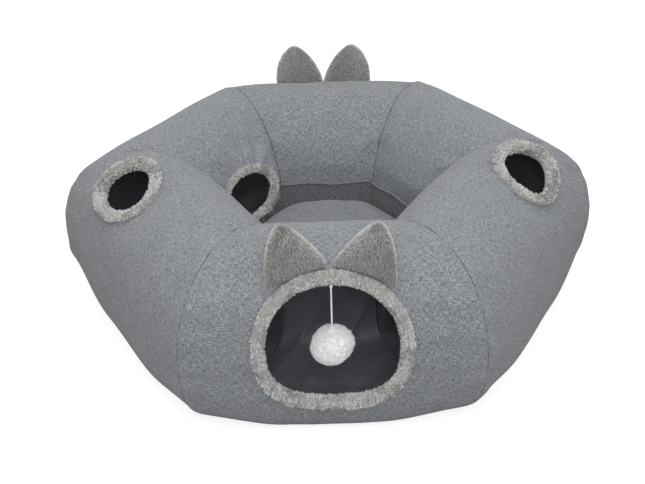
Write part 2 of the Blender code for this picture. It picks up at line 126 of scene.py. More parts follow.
class Finish:
    """One material: its Principled shader, and the nodes that vary it over the surface."""

    def __init__(self, name, colour, roughness, **constants):
        self.material = bpy.data.materials.new(name)
        self.material.use_nodes = True
        self.tree = self.material.node_tree
        self.shader = self.tree.nodes["Principled BSDF"]
        self.shader.inputs["Roughness"].default_value = roughness
        self.shader.inputs["Base Color"].default_value = (*colour, 1.0)
        self.material.diffuse_color = (*colour, 1.0)
        for socket, value in constants.items():
            self.shader.inputs[socket.replace("_", " ").title()].default_value = value

    def node(self, kind, settings=None, sockets=(), output=0):
        """Adds a node: its settings first, then its sockets by name or in order."""
        node = self.tree.nodes.new(kind)
        for setting, value in (settings or {}).items():
            if setting == "stops":
                ramp = node.color_ramp.elements
                while len(ramp) < len(value):
                    ramp.new(1.0)
                for stop, (place, colour) in zip(ramp, value):
                    stop.position = place
                    stop.color = (*colour, 1.0)
            else:
                setattr(node, setting, value)
        named = sockets.items() if isinstance(sockets, dict) else enumerate(sockets)
        for key, value in named:
            if isinstance(value, Value):
                self.tree.links.new(value.socket, node.inputs[key])
            elif isinstance(value, tuple) and len(value) == 3 and node.inputs[key].type == "RGBA":
                node.inputs[key].default_value = (*value, 1.0)
            else:
                node.inputs[key].default_value = value
        return Value(self, node.outputs[output])

    def coordinates(self, scale=(1.0, 1.0, 1.0), uv=False):
        source = self.node("ShaderNodeTexCoord", output="UV" if uv else "Object")
        return self.node("ShaderNodeMapping", None, {"Vector": source, "Scale": scale})

    def noise(self, vector, scale=1.0, detail=2.0, roughness=0.5):
        sockets = {"Vector": vector, "Scale": scale, "Detail": detail, "Roughness": roughness}
        return self.node("ShaderNodeTexNoise", None, sockets, "Fac")

    def attribute(self, name):
        return self.node("ShaderNodeAttribute", {"attribute_name": name}, output="Fac")

    def ramp(self, factor, stops):
        return self.node("ShaderNodeValToRGB", {"stops": stops}, {"Fac": factor})

    def mix(self, factor, first, second, blend="MIX"):
        """Mixes two colours. The colour sockets of the Mix node are 6 and 7, and its result is 2."""
        settings = {"data_type": "RGBA", "blend_type": blend}
        return self.node("ShaderNodeMix", settings, {0: factor, 6: first, 7: second}, 2)

    def bump(self, height, distance, strength=1.0):
        sockets = {"Height": height, "Distance": distance, "Strength": strength}
        self.link("Normal", self.node("ShaderNodeBump", None, sockets))

    def link(self, socket, value):
        self.tree.links.new(value.socket, self.shader.inputs[socket])


def only(*pieces):
    """Makes some pieces the ones that the operators act on, the first of them as the active one."""
    bpy.ops.object.select_all(action="DESELECT")
    for piece in pieces:
        piece.select_set(True)
    bpy.context.view_layer.objects.active = pieces[0]


def dress(piece, material):
    piece.data.materials.clear()
    piece.data.materials.append(material)


def settle(piece, body, slot, *nodes):
    """Hands a finished piece over to the body that carries it."""
    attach(piece, body)
    if nodes:
        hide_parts(*nodes)


def wire(name, line, radius, sides, material, closed=False):
    """A round wire or yarn along a line of points, as a mesh."""
    curve = bpy.data.curves.new(name, "CURVE")
    curve.dimensions = "3D"
    curve.bevel_depth = radius
    curve.bevel_resolution = sides
    curve.use_fill_caps = not closed
    spline = curve.splines.new("POLY")
    spline.points.add(len(line) - 1)
    spline.points.foreach_set("co", np.column_stack([line, np.ones(len(line))]).ravel())
    spline.use_cyclic_u = closed
    piece = bpy.data.objects.new(name, curve)
    bpy.context.scene.collection.objects.link(piece)
    only(piece)
    bpy.ops.object.convert(target="MESH")
    dress(piece, material)
    bpy.ops.object.shade_smooth()
    return piece


cord_yarn = Finish("cord_yarn", WHITE, 0.85, sheen_weight=0.2)
fluff = cord_yarn.noise(cord_yarn.coordinates(), FLUFF_RATE, 3.0)
cord_yarn.link("Base Color", cord_yarn.mix(fluff, WHITE_SHADE, WHITE))
cord_yarn.bump(cord_yarn.noise(cord_yarn.coordinates(), FIBRE_RATE), FIBRE_HEIGHT, 0.5)

cord_low, cord_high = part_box("pompom_cord")
cord_top = Vector(((cord_low.x + cord_high.x) / 2, (cord_low.y + cord_high.y) / 2, cord_high.z))
strand_radius = CORD_DIAMETER * STRAND_SHARE
strand_offset = CORD_DIAMETER / 2 - strand_radius
down = np.linspace(0.0, 1.0, CORD_STEPS + 1)
strands = []
for strand in range(2):
    turn = 2 * math.pi * (CORD_TWISTS * down + strand / 2)
    twist = [np.cos(turn) * strand_offset, np.sin(turn) * strand_offset, -CORD_LENGTH * down]
    line = np.stack(twist, axis=1) + np.array(cord_top)
    name = f"pompom_elastic_{strand}"
    strands.append(wire(name, line, strand_radius, STRAND_SIDES, cord_yarn.material))
only(*strands)
bpy.ops.object.join()
elastic = strands[0]
elastic.name = "pompom_elastic"
settle(elastic, "pompom_toy", "white_yarn", "pompom_cord")
dress(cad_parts["cord_knot"], cord_yarn.material)


# Tube covers
# Six flat panels of foam-backed linen-look weave, cut with mitred ends, rolled into tubes and sewn
# to each other over the hoops. The fabric fills out between two seams and turns in at each.

EQUATOR_HEIGHT = 0.117
BASE_PRESS = 0.003
OUTER_SHOULDER_FULLNESS = 2.27
INNER_SHOULDER_FULLNESS = 1.87
INNER_FOOT_FULLNESS = 5.0
OUTER_FOOT_FULLNESS = 3.5
HOOP_FOOT_FULLNESS = 2.25
FOOT_ROUND_START = 0.35
OUTLINE_STEPS = 240
FACING_STEPS = 8
PUFF = 0.0035
PUFF_POWER = 5
SEAM_ROLL = 0.0019
SEAM_COLUMNS = (0.00015, 0.0004, 0.0008, 0.0013, 0.0019, 0.004, 0.008, 0.0125)
PUCKER = 0.0009
PUCKER_REACH = 0.011
PUCKERS = ((8, 0.4), (12, 2.1), (19, 4.4))
RIPPLE = 0.0011
RIPPLE_RATE = 23.0
RIPPLE_CROSS_RATE = 13.0
RIPPLE_ROUNDS = 4
SEEDS = 17
COVER_CELL = 0.0045
FABRIC_THICKNESS = 0.0035
HOLE_MARGIN = 0.002
FLOOR_TOUCH = 0.0005
FOOT_SEAM_SET_BACK = 0.09
PRESS_HEIGHT = 0.140
PRESS_FADE = 0.030
MERGE_REACH = 0.00002

LINEN = (0.211, 0.223, 0.240)
LINEN_DARK = (0.108, 0.116, 0.128)
LINEN_PALE = (0.352, 0.365, 0.384)
THREAD_PITCH = 0.0020
WEFT_RATES = (170.0, 880.0, 1.0)
WARP_RATES = (920.0, 160.0, 1.0)
SLUB_RATES = (60.0, 620.0, 1.0)
MOTTLE_RATES = (30.0, 30.0, 30.0)
THREAD_CONTRAST = 1.75
SLUB_CONTRAST = 0.4
MOTTLE_CONTRAST = 0.25
WEAVE_CONTRAST = 0.08
WEAVE_HEIGHT = 0.00035

front_low, front_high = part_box("front_cover")
rear_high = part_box("rear_cover")[1]
side_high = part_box("front_right_cover")[1]
TUBE_WIDTH = front_high.y - front_low.y
TUBE_HEIGHT = front_high.z


def section(foot_fullness):
    """Outline of the tube as (depth behind the outer face, height), from its outer equator upwards."""
    middle = TUBE_WIDTH / 2
    rise = TUBE_HEIGHT - EQUATOR_HEIGHT
    drop = EQUATOR_HEIGHT + BASE_PRESS
    quarters = (
        (-1, rise, OUTER_SHOULDER_FULLNESS, False),
        (1, rise, INNER_SHOULDER_FULLNESS, True),
        (1, -drop, INNER_FOOT_FULLNESS, False),
        (-1, -drop, foot_fullness, True),
    )
    depths, heights = [], []
    for hand, reach, fullness, falling in quarters:
        turn = np.linspace(0.0, math.pi / 2, OUTLINE_STEPS, endpoint=False)
        if falling:
            turn = math.pi / 2 - turn
        power = 2.0 / fullness
        depths.append(middle + hand * middle * np.abs(np.cos(turn)) ** power)
        heights.append(np.maximum(EQUATOR_HEIGHT + reach * np.abs(np.sin(turn)) ** power, 0.0))
    outline = np.stack([np.concatenate(depths), np.concatenate(heights)], axis=1)
    return np.vstack([outline, outline[:1]])


class Skin:
    """The tube's outer face laid flat. Up is the distance over the fabric from the outer equator."""

    def __init__(self):
        self.flat = section(OUTER_FOOT_FULLNESS)
        self.round = section(HOOP_FOOT_FULLNESS)
        runs = np.linalg.norm(np.diff(self.flat, axis=0), axis=1)
        self.ups = np.concatenate([[0.0], np.cumsum(runs)])
        self.girth = self.ups[-1]
        ring = self.flat[:-1]
        run = np.roll(ring, -FACING_STEPS, axis=0) - np.roll(ring, FACING_STEPS, axis=0)
        normal = np.stack([-run[:, 1], run[:, 0]], axis=1)
        normal /= np.linalg.norm(normal, axis=1)[:, None]
        self.normals = np.vstack([normal, normal[:1]])

    def at(self, table, up):
        up = np.mod(up, self.girth)
        return np.stack([np.interp(up, self.ups, table[:, k]) for k in (0, 1)], axis=-1)

    def up_at(self, height, inner=False):
        """How far up the fabric the outer wall, or the nest's wall, reaches a height."""
        inward = self.flat[:, 0] > TUBE_WIDTH / 2
        found = np.where(inward == inner, np.abs(self.flat[:, 1] - height), 1.0)
        up = self.ups[int(np.argmin(found))]
        return up if inner or height > EQUATOR_HEIGHT else up - self.girth


skin = Skin()


def smooth_step(share):
    """A share from 0 to 1 that leaves the one gently and reaches the other gently."""
    share = np.clip(share, 0.0, 1.0)
    return share * share * (3.0 - 2.0 * share)


class Tube:
    """One tube of the ring, between two mitred corners."""

    def __init__(self, name, before, start, end, after):
        self.name = name
        self.half = (end - start).length / 2
        self.start_slope = 1.0 / math.tan((before - start).angle(end - start) / 2)
        self.end_slope = 1.0 / math.tan((start - end).angle(after - end) / 2)
        along = (end - start).normalized()
        self.along = np.array([along.x, along.y, 0.0])
        self.inward = np.array([-along.y, along.x, 0.0])
        self.middle = np.array([*((start + end) / 2), 0.0])
        self.seed = sum(map(ord, name)) % SEEDS
        self.openings = []

    def start_at(self, depth):
        return -self.half + depth * self.start_slope

    def end_at(self, depth):
        return self.half - depth * self.end_slope

    def world(self, x, depth, height):
        flat = self.middle + np.multiply.outer(x, self.along) + np.multiply.outer(depth, self.inward)
        flat[..., 2] = height
        return flat

    def place(self, x, up, lift, keep_x=True):
        """Points on the filled-out fabric: x along the tube, up round it, lift above it."""
        base = skin.at(skin.flat, up)
        start, end = self.start_at(base[..., 0]), self.end_at(base[..., 0])
        share = (x - start) / (end - start)
        edge = np.clip(np.abs(2.0 * share - 1.0), 0.0, 1.0)
        ease = smooth_step((edge - FOOT_ROUND_START) / (1.0 - FOOT_ROUND_START))
        point = base + (skin.at(skin.round, up) - base) * ease[..., None]
        near = np.maximum(np.minimum(x - start, end - x), 0.0) / PUCKER_REACH
        turn = 2 * math.pi * up / skin.girth
        pucker = sum(np.sin(rate * turn + phase + self.seed) for rate, phase in PUCKERS)
        ripple = np.sin(RIPPLE_RATE * x + turn + self.seed)
        ripple = ripple * np.sin(RIPPLE_ROUNDS * turn - RIPPLE_CROSS_RATE * x + 2 * self.seed)
        swell = PUFF * (1.0 - edge ** PUFF_POWER) + PUCKER * pucker * near * np.exp(1.0 - near)
        swell = swell + RIPPLE * ripple * (1.0 - np.exp(-near))
        free = smooth_step((base[..., 1] - PRESS_HEIGHT) / PRESS_FADE)
        swell = swell * np.where(base[..., 0] > TUBE_WIDTH / 2, free, 1.0)
        for opening in self.openings:
            swell = swell + opening.pull(x, up) * (1.0 - np.exp(-near))
        point = point + skin.at(skin.normals, up) * (swell + lift)[..., None]
        if not keep_x:
            start, end = self.start_at(point[..., 0]), self.end_at(point[..., 0])
            x = start + share * (end - start)
        return self.world(x, point[..., 0], np.maximum(point[..., 1], 0.0))


corners = [
    Vector((-front_high.x, front_low.y)),
    Vector((front_high.x, front_low.y)),
    Vector((side_high.x, side_high.y)),
    Vector((rear_high.x, rear_high.y)),
    Vector((-rear_high.x, rear_high.y)),
    Vector((-side_high.x, side_high.y)),
]
tube_names = ("front", "front_right", "rear_right", "rear", "rear_left", "front_left")
tubes = {}
for i, tube_name in enumerate(tube_names):
    around = [corners[(i + k) % len(corners)] for k in (-1, 0, 1, 2)]
    tubes[tube_name] = Tube(tube_name, *around)


ENTRY_WIDTH = 0.19
ENTRY_TOP = 0.233
ENTRY_FOOT = 0.0705
ENTRY_FULLNESS = (2.05, 2.7)
ROUND_FULLNESS = (2.1, 2.1)
LEFT_PEEPHOLE = dict(
    x=-0.070, height=0.2469, size=(0.114, 0.0862), turn=-0.12, flattening=0.0054, tilt=-0.0031,
)
RIGHT_PEEPHOLE = dict(
    x=0.0828, height=0.2489, size=(0.1144, 0.0876), turn=0.31, flattening=0.0008, tilt=0.0031,
)
NEST_HOLE = dict(
    x=0.014, height=0.1525, size=(0.110, 0.0815), inner=True, tilt=-0.0115, slimness=0.72,
    gathering=0.0026,
)
EDGE_STEP = 0.01
PULL_REACH = 0.05
PULL_LIMIT = 1.4
GATHERS = 14
GATHER_DRIFTS = 3
GATHER_DRIFT = 1.7
GATHER_REACH = 0.017
GATHERING = 0.0008


class Opening:
    """A hole cut in a cover, as a superellipse on the flat panel, which may be turned on it."""

    def __init__(
        self, tube, x, height, size, fullness=ROUND_FULLNESS, inner=False, turn=0.0, flattening=0.0,
        tilt=0.0, slimness=1.0, gathering=GATHERING,
    ):
        self.tube = tube
        self.x = x
        self.up = skin.up_at(height, inner)
        self.length, self.rise = size
        self.fullness = fullness
        self.cosine, self.sine = math.cos(turn), math.sin(turn)
        self.flattening = flattening
        self.tilt = tilt
        self.slimness = slimness
        self.gathering = gathering
        tube.openings.append(self)

    def own(self, x, up):
        """A point of the panel as distances along the hole and across it."""
        x = x - self.x
        up = np.mod(up - self.up + skin.girth / 2, skin.girth) - skin.girth / 2
        return x * self.cosine + up * self.sine, up * self.cosine - x * self.sine

    def clear(self, x, up):
        """About how far outside the cut edge a point of the panel lies."""
        out, rise = self.own(x, up)
        power = np.where(rise > 0, self.fullness[0], self.fullness[1])
        reach = (np.abs(out) / (self.length / 2)) ** power + (np.abs(rise) / (self.rise / 2)) ** power
        return (reach ** (1.0 / power) - 1.0) * min(self.length, self.rise) / 2

    def pull(self, x, up):
        """How far the bound edge, which lies nearly in one plane, pulls the fabric out or in."""
        out, rise = self.own(x, up)
        ends, sides = np.abs(out) / self.length, np.abs(rise) / self.rise
        bend = (sides ** 2 - ends ** 2) / (sides ** 2 + ends ** 2 + 1e-9)
        lean = np.clip(out / (self.length / 2), -PULL_LIMIT, PULL_LIMIT)
        fade = smooth_step(1.0 - self.clear(x, up) / PULL_REACH)
        turn = np.arctan2(rise, out)
        gather = np.sin(turn * GATHERS + np.sin(turn * GATHER_DRIFTS) * GATHER_DRIFT)
        beside = np.maximum(self.clear(x, up), 0.0) / GATHER_REACH
        wrinkle = self.gathering * gather * beside * np.exp(1.0 - beside)
        return (self.flattening * bend + self.tilt * lean) * fade + wrinkle

    def edge(self, turn):
        """Points of the cut edge as (x, up), and the way out from it on the panel."""
        points = []
        for shift in (0.0, -EDGE_STEP, EDGE_STEP):
            cosine, sine = np.cos(turn + shift), np.sin(turn + shift)
            power = 2.0 / np.where(sine >= 0, self.fullness[0], self.fullness[1])
            out = np.abs(cosine) ** power * np.sign(cosine) * self.length / 2
            rise = np.abs(sine) ** power * np.sign(sine) * self.rise / 2
            turned = (out * self.cosine - rise * self.sine, out * self.sine + rise * self.cosine)
            points.append(np.stack(turned, axis=-1))
        run = points[2] - points[1]
        outward = np.stack([run[..., 1], -run[..., 0]], axis=-1)
        outward /= np.linalg.norm(outward, axis=-1)[..., None] + 1e-12
        return points[0] + (self.x, self.up), outward


entry_foot, entry_head = skin.up_at(ENTRY_FOOT), skin.up_at(ENTRY_TOP)
entry_middle = float(skin.at(skin.flat, (entry_foot + entry_head) / 2)[1])
entry = dict(x=0.0, height=entry_middle, size=(ENTRY_WIDTH, entry_head - entry_foot), fullness=ENTRY_FULLNESS)
openings = {
    "front_entry": Opening(tubes["front"], **entry),
    "rear_entry": Opening(tubes["rear"], **entry),
    "left_peephole": Opening(tubes["front_left"], **LEFT_PEEPHOLE),
    "right_peephole": Opening(tubes["front_right"], **RIGHT_PEEPHOLE),
    "nest_hole": Opening(tubes["rear_left"], **NEST_HOLE),
}


def linen_finish(name, painted_shade=1.0, uv=True):
    """A heathered plain weave: uneven light and dark threads both ways, slubs and a soft mottle. A shade
    below 1 darkens every tone of it, a painted shade.
    """
    dark, middle, pale = (tuple(c * painted_shade for c in tone) for tone in (LINEN_DARK, LINEN, LINEN_PALE))
    linen = Finish(name, middle, 0.9, sheen_weight=0.15, sheen_roughness=0.5)
    weft = linen.noise(linen.coordinates(WEFT_RATES, uv), roughness=0.6)
    warp = linen.noise(linen.coordinates(WARP_RATES, uv), roughness=0.6)
    slub = linen.noise(linen.coordinates(SLUB_RATES, uv))
    mottle = linen.noise(linen.coordinates(MOTTLE_RATES, uv), roughness=0.6)
    along = linen.node("ShaderNodeSeparateXYZ", None, [linen.coordinates(uv=uv)])
    across = Value(linen, along.socket.node.outputs[1])
    rate = 2 * math.pi / THREAD_PITCH
    weave = (along * rate).sine() * (across * rate).sine()
    threads = (weft + warp - 1.0) * THREAD_CONTRAST + (slub - 0.5) * SLUB_CONTRAST
    tone = 0.5 + threads + (mottle - 0.5) * MOTTLE_CONTRAST + weave * WEAVE_CONTRAST
    linen.link("Base Color", linen.ramp(tone, [(0.12, dark), (0.5, middle), (0.88, pale)]))
    linen.bump(weave * 0.5 + (weft + warp) * 1.2, WEAVE_HEIGHT, 0.8)
    return linen.material


def face_corners(piece):
    """The number of the vertex at each corner of each face."""
    corners_of = np.zeros(len(piece.data.loops), np.int32)
    piece.data.loops.foreach_get("vertex_index", corners_of)
    return corners_of


def lay_fabric(piece, flat):
    """Gives a piece its fabric map in metres of cloth: a flat place for each corner of each face."""
    layers = piece.data.uv_layers
    fabric = layers[0] if layers else layers.new(name="fabric")
    fabric.data.foreach_set("uv", flat.astype(np.float32).ravel())


def put(piece, points):
    piece.data.vertices.foreach_set("co", points.astype(np.float32).ravel())


def grid_of(name, points, material):
    """A grid of faces over rows and columns of points."""
    rows, columns = points.shape[:2]
    bpy.ops.object.select_all(action="DESELECT")
    bpy.ops.mesh.primitive_grid_add(x_subdivisions=columns - 1, y_subdivisions=rows - 1)
    piece = bpy.context.view_layer.objects.active
    piece.name = name
    put(piece, points)
    dress(piece, material)
    return piece


def close_up(piece):
    """Joins the vertices of a piece that meet, and turns its faces outwards."""
    only(piece)
    bpy.ops.object.mode_set(mode="EDIT")
    bpy.ops.mesh.select_all(action="SELECT")
    bpy.ops.mesh.remove_doubles(threshold=MERGE_REACH)
    bpy.ops.mesh.normals_make_consistent(inside=False)
    bpy.ops.object.mode_set(mode="OBJECT")


def apply(piece, kind, **settings):
    """Applies one modifier to a piece, and leaves the piece the one that the operators act on."""
    only(piece)
    modifier = piece.modifiers.new(kind.lower(), kind)
    for setting, value in settings.items():
        setattr(modifier, setting, value)
    bpy.ops.object.modifier_apply(modifier=modifier.name)


def panel_columns(tube, depth, cell):
    """Where a panel's columns lie along its tube at some depths, and how far each is from a seam."""
    beside = np.array(SEAM_COLUMNS)
    start, end = tube.start_at(depth)[:, None], tube.end_at(depth)[:, None]
    first = start + beside * math.hypot(1.0, tube.start_slope)
    final = end - beside[::-1] * math.hypot(1.0, tube.end_slope)
    count = round(2 * tube.half / cell)
    middle = first[:, -1:] + np.arange(1, count) / count * (final[:, :1] - first[:, -1:])
    distance = np.concatenate([beside, np.full(count - 1, beside[-1]), beside[::-1]])
    return np.hstack([first, middle, final]), distance


def wrapped_panel(name, tube, cell, lift, material, seam_roll, folds=None):
    """A flat panel wrapped into a tube, with its holes cut out."""
    rows = round(skin.girth / cell)
    ups = skin.up_at(FLOOR_TOUCH) - FOOT_SEAM_SET_BACK + np.linspace(0.0, skin.girth, rows + 1)
    xs, distance = panel_columns(tube, skin.at(skin.flat, ups)[:, 0], cell)
    ups = np.repeat(ups[:, None], xs.shape[1], axis=1)
    turned_in = np.maximum(seam_roll - distance, 0.0)
    lifts = lift - seam_roll + np.sqrt(seam_roll ** 2 - turned_in ** 2)
    if folds:
        lifts = lifts + folds(xs, ups)
    panel = grid_of(name, tube.place(xs, ups, lifts, keep_x=False), material)
    flat = np.stack([xs, ups], axis=-1).reshape(-1, 2)[face_corners(panel)]
    lay_fabric(panel, flat)
    centres = flat.reshape(-1, 4, 2).mean(axis=1)
    gone = np.zeros(len(centres), bool)
    for hole in tube.openings:
        gone |= hole.clear(centres[:, 0], centres[:, 1]) < HOLE_MARGIN
    bpy.ops.object.mode_set(mode="EDIT")
    bpy.ops.mesh.select_mode(type="FACE")
    bpy.ops.mesh.select_all(action="DESELECT")
    bpy.ops.object.mode_set(mode="OBJECT")
    panel.data.polygons.foreach_set("select", gone)
    bpy.ops.object.mode_set(mode="EDIT")
    bpy.ops.mesh.delete(type="FACE")
    bpy.ops.object.mode_set(mode="OBJECT")
    close_up(panel)
    return panel


cover_linen = linen_finish("linen_weave")
for tube in tubes.values():
    cover = wrapped_panel(f"{tube.name}_linen", tube, COVER_CELL, 0.0, cover_linen, SEAM_ROLL)
    apply(cover, "SOLIDIFY", thickness=FABRIC_THICKNESS, offset=-1.0)
    bpy.ops.object.shade_smooth()
    settle(cover, "tunnel", "linen_weave", f"{tube.name}_cover")


# Seam hoops
# Six rings of spring steel wire, one in the channel of each seam between two tubes. They hold the
# tubes open, and nothing of them shows once the covers are sewn.

STEEL = (0.45, 0.45, 0.46)
DRAWN_RATE = 400.0
DRAWN_HEIGHT = 0.00005
HOOP_WIRE = 0.0035
HOOP_DEPTH = 0.0043
HOOP_STEPS = 160
HOOP_SIDES = 4

steel = Finish("drawn_wire", STEEL, 0.35, metallic=1.0)
drawn = steel.noise(steel.coordinates((1.0, 1.0, 6.0)), DRAWN_RATE, 4.0)
steel.link("Roughness", 0.25 + drawn * 0.3)
steel.bump(drawn, DRAWN_HEIGHT)

hoop_ups = np.linspace(0.0, skin.girth, HOOP_STEPS, endpoint=False)
hoop_line = skin.at(skin.round, hoop_ups) - skin.at(skin.normals, hoop_ups) * HOOP_DEPTH
hoop_depths, hoop_heights = hoop_line[:, 0], np.maximum(hoop_line[:, 1], HOOP_DEPTH)
for tube in tubes.values():
    line = tube.world(tube.start_at(hoop_depths), hoop_depths, hoop_heights)
    hoop = wire(f"{tube.name}_wire", line, HOOP_WIRE / 2, HOOP_SIDES, steel.material, closed=True)
    settle(hoop, "tunnel", "spring_steel", f"{tube.name}_hoop")


# Linings
# A smooth, near-black cloth inside each tube. It hangs a little loose between the seams, so it
# lies in long soft folds that catch some light near the entries.

LINING_DEPTH = 0.0068
LINING_CELL = 0.0065
LINING_THICKNESS = 0.0008
LINING_FOLD = 0.0085
FOLD_SHARES = (1.2, 0.3, 0.8, 0.15)
FOLD_DRIFTS = (0.03, 0.02)
LINING_HOLD = 0.03
LINING_HOLD_POWER = 0.7
BROAD_RATE = 29.0
CREASE_RATE = 48.0
CREASE_ROUNDS = 3
CROSS_RATE = 37.0
CROSS_ROUNDS = 4
LINING_BLACK = (0.092, 0.094, 0.114)
# The paler colour below is a painted sheen, laid in streaks over the black.
LINING_SHEEN = (0.220, 0.225, 0.262)
GRAIN_RATES = (900.0, 900.0, 1.0)
DRIFT_RATES = (14.0, 9.0, 1.0)
GRAIN_HEIGHT = 0.0001

lining_cloth = Finish("black_lining", LINING_BLACK, 0.5, sheen_weight=0.4, sheen_roughness=0.4)
lining_painted_sheen = lining_cloth.noise(lining_cloth.coordinates(DRIFT_RATES, uv=True), detail=3.0)
# The paler colour, laid on in soft drifting streaks, is a painted sheen on the black cloth.
lining_cloth.link("Base Color", lining_cloth.mix(lining_painted_sheen, LINING_BLACK, LINING_SHEEN))
lining_cloth.bump(lining_cloth.noise(lining_cloth.coordinates(GRAIN_RATES, uv=True)), GRAIN_HEIGHT, 0.6)


def lining_folds(tube):
    """Long folds round the tube, uneven along it, always behind the cover."""
    slack, wide, sharp, slanted = FOLD_SHARES

    def folds(x, up):
        turn = 2 * math.pi * up / skin.girth
        drift = FOLD_DRIFTS[0] * np.sin(turn + tube.seed) + FOLD_DRIFTS[1] * np.sin(2 * turn + 2.0)
        broad = np.sin(BROAD_RATE * (x + 2.0 * drift) + tube.seed)
        crease = np.sqrt(np.abs(np.sin(CREASE_RATE * (x + drift) + CREASE_ROUNDS * turn + tube.seed)))
        cross = np.sqrt(np.abs(np.sin(CROSS_RATE * (x - 1.6 * drift) - CROSS_ROUNDS * turn + 1.3)))
        hang = LINING_FOLD * (slack + wide * broad - sharp * crease - slanted * cross)
        for opening in tube.openings:
            hang = hang * np.clip(opening.clear(x, up) / LINING_HOLD, 0.0, 1.0) ** LINING_HOLD_POWER
        return -hang

    return folds


for tube in tubes.values():
    lining = wrapped_panel(
        f"{tube.name}_cloth", tube, LINING_CELL, -LINING_DEPTH, lining_cloth.material, 0.0,
        lining_folds(tube),
    )
    apply(lining, "SOLIDIFY", thickness=LINING_THICKNESS, offset=-1.0)
    bpy.ops.object.shade_smooth()
    settle(lining, "tunnel", "black_lining", f"{tube.name}_lining")


# Plush bindings
# Strips of short, soft plush, folded over each cut edge and sewn down through cover and lining. Each
# is a stuffed-looking roll, whose pile lies in small tufts and makes a ragged rim round the hole.

BINDING_FLANGE = 0.0098
BINDING_NECK = 0.0058
BINDING_LOFT = 0.0066
BINDING_DROP = 0.0085
BINDING_SQUARENESS = 0.8
BINDING_LUMP = 0.1
BINDING_ROUND = 36
BINDING_CELL = 0.0018
CLUMP_SIZE = 0.0065
CLUMP_DEPTH = 0.0022
TUFT_DENSITY = 1.15e6
TUFT_LENGTH = 0.0047
TUFT_WIDTH = 0.0012
TUFT_LEAN = 0.9
TUFT_FLOW = 0.016
FLOW_RATES = (2.0, 4.6)
FLOW_FINER_SHARE = 0.6
TUFT_SINK = 0.0005
TUFT_STRAY = 0.7
TUFT_RIDGE_SHARE = 0.4
# The feet of the tufts, and the roll under them, mostly take the roots' colour: a painted shade deep in the
# pile.
TUFT_TIP_MARKS = (0.1, 0.1, 0.35, 1.0)
ROLL_TINT = 0.5
ROLL_TIP_MARK = 0.2
SHORTEST_SHARE = 0.6
SLIMMEST_SHARE = 0.7
TINT_SHARES = (0.4, 0.4, 0.2)
BINDING_SEED = 100
STITCH_STEPS = 400
# Near a binding's outer stitches its tufts are shorter and their tint is painted darker, down to
# STITCH_SHADE: a painted shade in the crease.
STITCH_CREASE = 0.0052
STITCH_SHADE = 0.25
LOCK_SPACING = 0.0037
LOCK_HOLD = 0.62
LOCK_MEETING_SHARE = 1.15
PILE_FIBRE_RATE = 1800.0
PILE_FIBRE_HEIGHT = 0.0003

# The roots' colour is the tips' colour painted darker, a painted shade between the tufts.
PLUSH_ROOT = (0.380, 0.371, 0.356)
PLUSH_TIP = (0.880, 0.868, 0.848)


def pile_finish(name, root, tip, darkest, sheen):
    """Pile whose colour is painted darker from the tufts' tips down to their roots, a painted shade between
    its tufts, and not two tufts alike.
    """
    pile = Finish(name, tip, 0.95, sheen_weight=sheen, sheen_roughness=0.45)
    painted_shade = pile.mix(pile.attribute("tip"), root, tip)
    # The tint ramp darkens each tuft by its random tint, together with any painted light and shade carried in
    # that attribute.
    tint = pile.ramp(pile.attribute("tint"), [(0.0, (darkest,) * 3), (1.0, (1.0, 1.0, 1.0))])
    pile.link("Base Color", pile.mix(1.0, painted_shade, tint, "MULTIPLY"))
    pile.bump(pile.noise(pile.coordinates(), PILE_FIBRE_RATE), PILE_FIBRE_HEIGHT, 0.6)
    return pile.material


def add_piece(name, points, faces, material):
    mesh = bpy.data.meshes.new(name)
    mesh.from_pydata([tuple(p) for p in points], [], faces)
    mesh.materials.append(material)
    piece = bpy.data.objects.new(name, mesh)
    bpy.context.scene.collection.objects.link(piece)
    return piece


def mark(piece, name, values):
    attribute = piece.data.attributes.new(name, "FLOAT", "POINT")
    attribute.data.foreach_set("value", np.asarray(values, np.float32))


def unit(vectors):
    return vectors / (np.linalg.norm(vectors, axis=-1, keepdims=True) + 1e-12)


def in_surface(vectors, facing):
    """What is left of the vectors in the plane of the surface."""
    return unit(vectors - facing * np.sum(vectors * facing, axis=-1, keepdims=True))


def flow(places, reach, chance):
    """A random heading at each place, which turns slowly from one place to the next."""
    waves, finer = (unit(chance.normal(size=(3, 3))).T / reach * rate for rate in FLOW_RATES)
    phases = chance.random(6) * 2 * math.pi
    return np.sin(places @ waves + phases[:3]) + FLOW_FINER_SHARE * np.sin(places @ finer + phases[3:])


def places_of(piece):
    """The places of a piece's vertices, a row for each."""
    places = np.zeros(len(piece.data.vertices) * 3, np.float32)
    piece.data.vertices.foreach_get("co", places)
    return places.reshape(-1, 3)


def scatter(piece, density, chance):
    """Random roots over a mesh: their places and the way that the surface faces there."""
    piece.data.calc_loop_triangles()
    count = len(piece.data.loop_triangles)
    corners_of = np.zeros(count * 3, np.int32)
    piece.data.loop_triangles.foreach_get("vertices", corners_of)
    corners_of = corners_of.reshape(-1, 3)
    points = places_of(piece).astype(float)
    normals = np.zeros(points.size, np.float32)
    piece.data.vertex_normals.foreach_get("vector", normals)
    normals = normals.reshape(-1, 3).astype(float)
    a, b, c = (points[corners_of[:, k]] for k in range(3))
    area = np.linalg.norm(np.cross(b - a, c - a), axis=1) / 2
    total = int(area.sum() * density)
    picked = chance.choice(count, total, p=area / area.sum())
    share = np.sqrt(chance.random(total))
    other = chance.random(total)
    weights = np.stack([1.0 - share, share * (1.0 - other), share * other], axis=1)
    roots = np.einsum("ij,ijk->ik", weights, points[corners_of[picked]])
    facing = unit(np.einsum("ij,ijk->ik", weights, normals[corners_of[picked]]))
    return roots, facing


